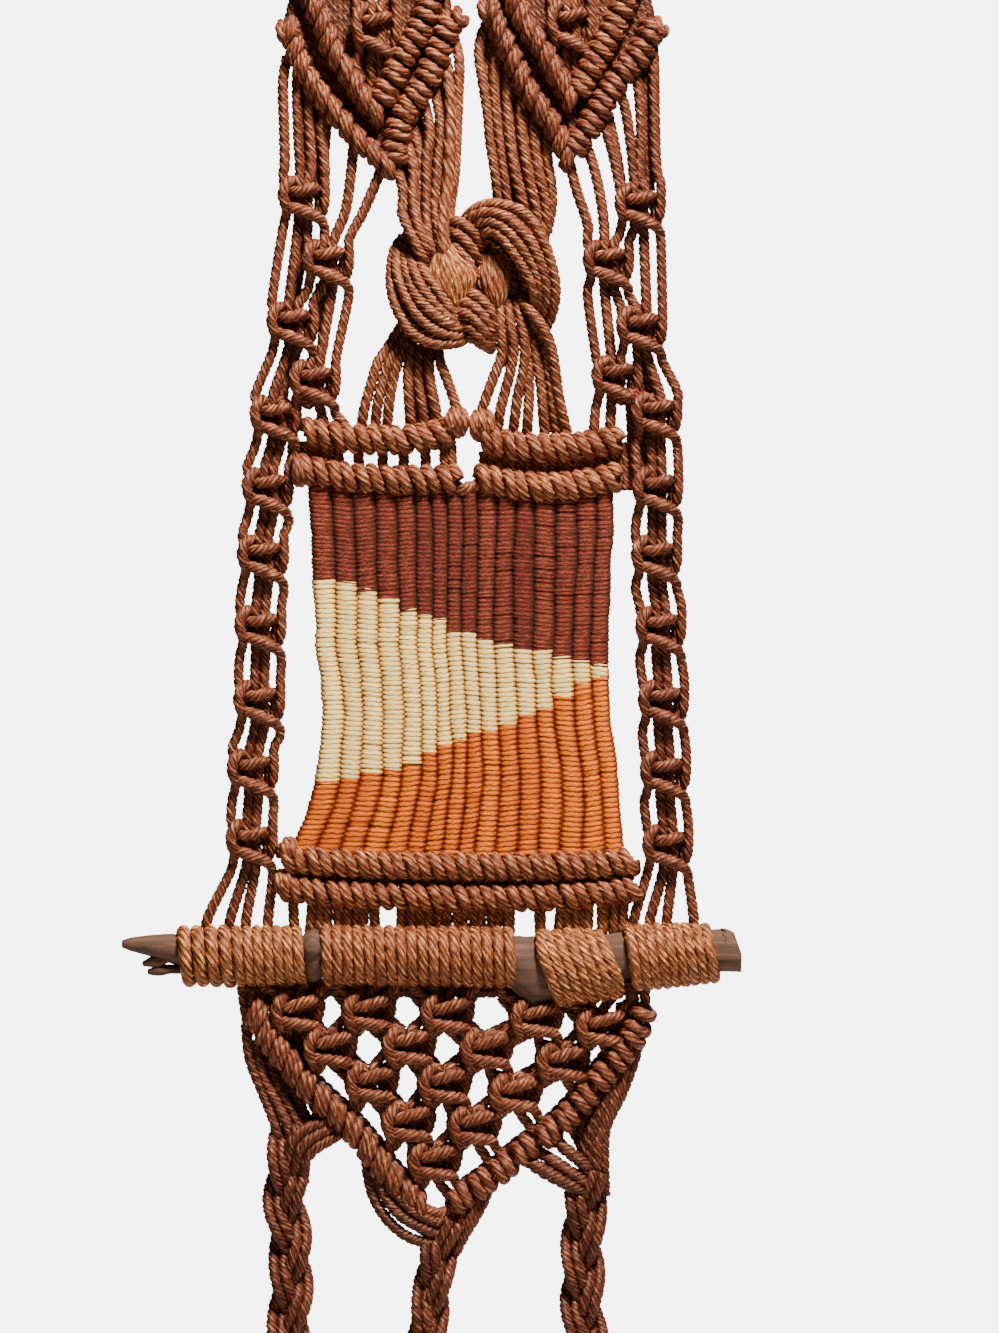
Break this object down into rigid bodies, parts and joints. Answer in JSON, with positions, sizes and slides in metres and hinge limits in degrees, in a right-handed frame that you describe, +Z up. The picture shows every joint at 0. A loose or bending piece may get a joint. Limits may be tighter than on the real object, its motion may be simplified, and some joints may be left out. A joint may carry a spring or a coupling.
{
  "type": "macrame wall hanging on two headed straps with a driftwood stick",
  "caption": "Knotted cord wall hanging with a big centre knot, a woven three-colour panel, a driftwood stick, a knotted net and braided ends.",
  "frame": {"origin": "middle of the top edge of the two heading bars, halfway through the thickness", "axes": "+Z up along the hanging, +X to the right as seen from the front, +Y back towards the wall"},
  "size_m": [0.269, 0.0252, 0.7118],
  "materials": {
    "rust_cord": "twisted three-ply cord with a soft sheen",
    "maroon_yarn": "matt wool weft, packed",
    "cream_yarn": "matt cotton weft, packed",
    "orange_yarn": "matt wool weft, packed",
    "driftwood": "weathered, dry, cracked along the grain"
  },
  "bodies": {
    "root": {"knotwork_upper": "rust_cord", "knotwork_lower": "rust_cord", "weft_maroon": "maroon_yarn", "weft_cream": "cream_yarn", "weft_orange": "orange_yarn", "driftwood_stick": "driftwood"}
  },
  "joints": []
}
